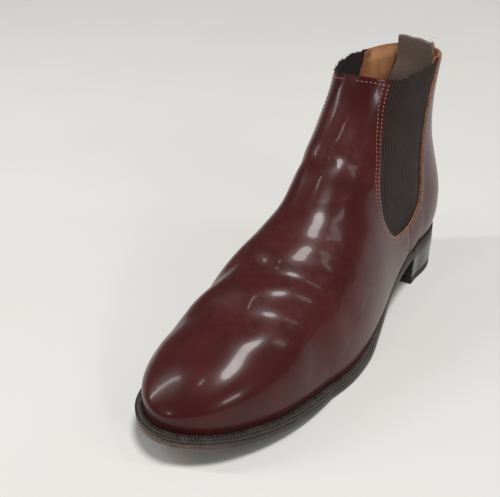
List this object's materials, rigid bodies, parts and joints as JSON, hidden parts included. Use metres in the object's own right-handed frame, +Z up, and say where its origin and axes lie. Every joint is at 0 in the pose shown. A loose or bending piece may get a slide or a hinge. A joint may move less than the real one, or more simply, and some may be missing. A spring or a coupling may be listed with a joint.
{
  "type": "chelsea boot",
  "caption": "Ankle-high leather slip-on boot with elastic side panels, a fabric pull tab, a welted sole and a low stacked heel.",
  "frame": {"origin": "on the floor under the middle of the boot's overall box", "axes": "+Z up, the toe points along -Y, +X towards the outer side of the wearer's left foot"},
  "size_m": [0.1016, 0.3066, 0.1746],
  "materials": {
    "upper_leather": "polished burgundy calf leather",
    "elastic": "ribbed dark brown elastic webbing",
    "lining_leather": "matt tan lining leather",
    "webbing": "woven brown-grey tape",
    "sole_leather": "dark stained sole leather, waxed edge",
    "heel_leather": "dark stained stacked leather",
    "rubber": "matt black rubber",
    "insole_board": "raw leather board",
    "stiffener": "raw stiffened cloth",
    "cork": "pressed cork",
    "steel": "plain steel"
  },
  "bodies": {
    "boot": {"vamp": "upper_leather", "quarter": "upper_leather", "gore_lateral": "elastic", "gore_medial": "elastic", "vamp_lining": "lining_leather", "quarter_lining": "lining_leather", "toe_puff": "stiffener", "vamp_interlining": "stiffener", "heel_counter": "stiffener", "backstay_interlining": "stiffener", "pull_tab_foot": "webbing", "insole": "insole_board", "sock_lining": "lining_leather", "insole_rib": "insole_board", "welt": "sole_leather", "heel_rand": "sole_leather", "cork_filler": "cork", "shank": "steel", "outsole": "sole_leather", "heel_lift_1": "heel_leather", "heel_lift_2": "heel_leather", "heel_lift_3": "heel_leather", "top_piece": "rubber", "heel_nail_1": "steel", "heel_nail_2": "steel", "heel_nail_3": "steel", "heel_nail_4": "steel", "heel_nail_5": "steel"},
    "pull_loop": {"pull_tab": "webbing"}
  },
  "joints": [
    {"name": "pull_tab_fold", "type": "hinge", "parent": "boot", "child": "pull_loop", "pos_m": [0.0028, 0.12397, 0.14464], "axis": [1, 0, 0], "range_deg": [0, 50]}
  ]
}
